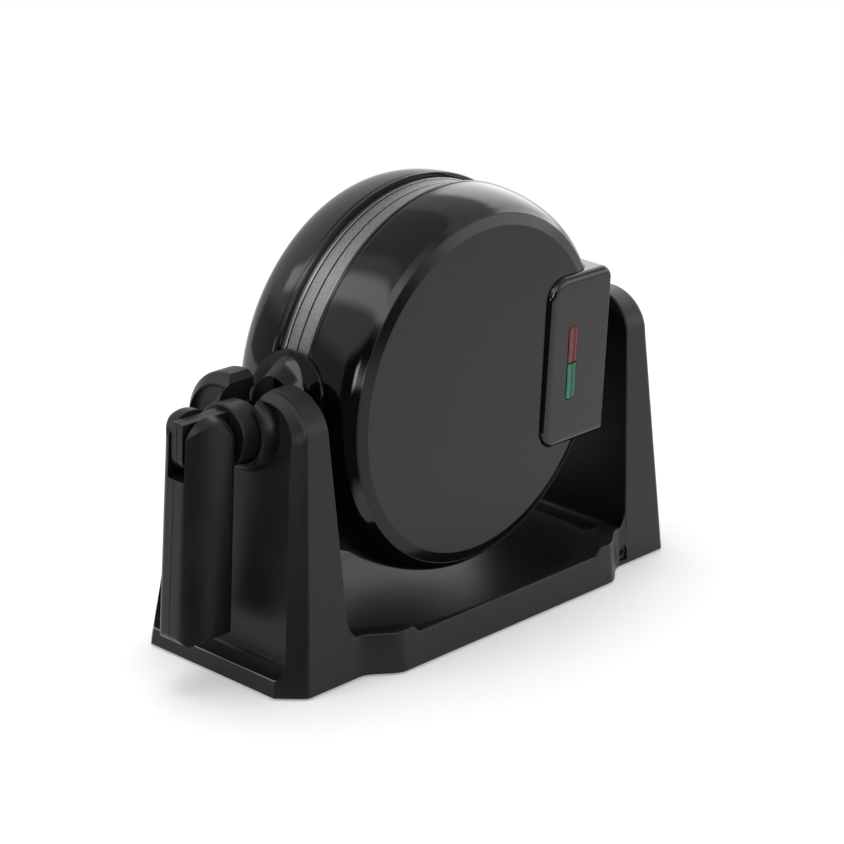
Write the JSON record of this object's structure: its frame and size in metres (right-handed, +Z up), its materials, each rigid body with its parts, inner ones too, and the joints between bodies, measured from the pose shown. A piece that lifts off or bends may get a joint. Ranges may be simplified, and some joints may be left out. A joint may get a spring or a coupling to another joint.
{
  "type": "rotating waffle maker",
  "caption": "Countertop waffle maker whose round two-part drum turns over between two towers on a drip tray base, with a split folding handle and a hinged lid",
  "frame": {"origin": "on the surface the feet stand on, under the middle of the whole length", "axes": "+X along the turning axis from the handle to the lid hinge, -Y towards the lid as stored, +Z up"},
  "size_m": [0.3492, 0.1386, 0.2372],
  "materials": {
    "satin_black": "satin moulded plastic with a fine spark-eroded texture",
    "gloss_black": "polished black plastic",
    "face_grey": "satin charcoal grey plastic disc",
    "cast_aluminium": "die-cast aluminium with a turned rim and a dark non-stick face",
    "heater_sheath": "oxidised steel sheath",
    "pan_steel": "plain rolled steel",
    "foot_rubber": "matt black rubber",
    "bearing_plastic": "natural low-friction plastic",
    "red_lens": "clear red moulded lens, unlit",
    "green_lens": "clear green moulded lens, unlit",
    "board_green": "green circuit board"
  },
  "bodies": {
    "base": {"base_housing": "satin_black", "bottom_cover": "satin_black", "foot_1": "foot_rubber", "foot_2": "foot_rubber", "foot_3": "foot_rubber", "foot_4": "foot_rubber", "handle_side_saddle": "bearing_plastic", "hinge_side_bush": "bearing_plastic", "cord_gland": "foot_rubber"},
    "carrier": {"lower_shell": "gloss_black", "lower_face_disc": "face_grey", "lower_waffle_plate": "cast_aluminium", "lower_heating_element": "heater_sheath", "lower_reflector_pan": "pan_steel", "lower_dial_cover": "gloss_black", "thermostat": "pan_steel", "hinge_bracket": "gloss_black", "hinge_pin": "pan_steel", "pivot_tube": "pan_steel", "pivot_retainer": "pan_steel", "neck_rear": "satin_black", "hub_front": "satin_black", "hub_rear": "satin_black", "handle_pin": "pan_steel"},
    "lid": {"lid_shell": "gloss_black", "lid_face_disc": "face_grey", "lid_waffle_plate": "cast_aluminium", "lid_heating_element": "heater_sheath", "lid_reflector_pan": "pan_steel", "lid_lamp_cover": "gloss_black", "red_lens": "red_lens", "green_lens": "green_lens", "lamp_board": "board_green", "neck_front": "gloss_black"},
    "front_handle_half": {"handle_front": "satin_black"},
    "rear_handle_half": {"handle_rear": "satin_black"},
    "dial": {"browning_dial": "satin_black"}
  },
  "joints": [
    {"name": "head_rotation", "type": "hinge", "parent": "base", "child": "carrier", "pos_m": [0, 0, 0.1305], "axis": [-1, 0, 0], "range_deg": [-90, 90]},
    {"name": "lid_hinge", "type": "hinge", "parent": "carrier", "child": "lid", "pos_m": [0.11832, -0.0333, 0.1305], "axis": [0, 0, 1], "range_deg": [0, 92]},
    {"name": "handle_fold_front", "type": "hinge", "parent": "carrier", "child": "front_handle_half", "pos_m": [-0.15718, 0, 0.1305], "axis": [0, 1, 0], "range_deg": [0, 90]},
    {"name": "handle_fold_rear", "type": "hinge", "parent": "carrier", "child": "rear_handle_half", "pos_m": [-0.15718, 0, 0.1305], "axis": [0, 1, 0], "range_deg": [0, 90]},
    {"name": "dial_turn", "type": "hinge", "parent": "carrier", "child": "dial", "pos_m": [0.08532, 0.05, 0.1305], "axis": [0, 1, 0], "range_deg": [0, 270]}
  ]
}
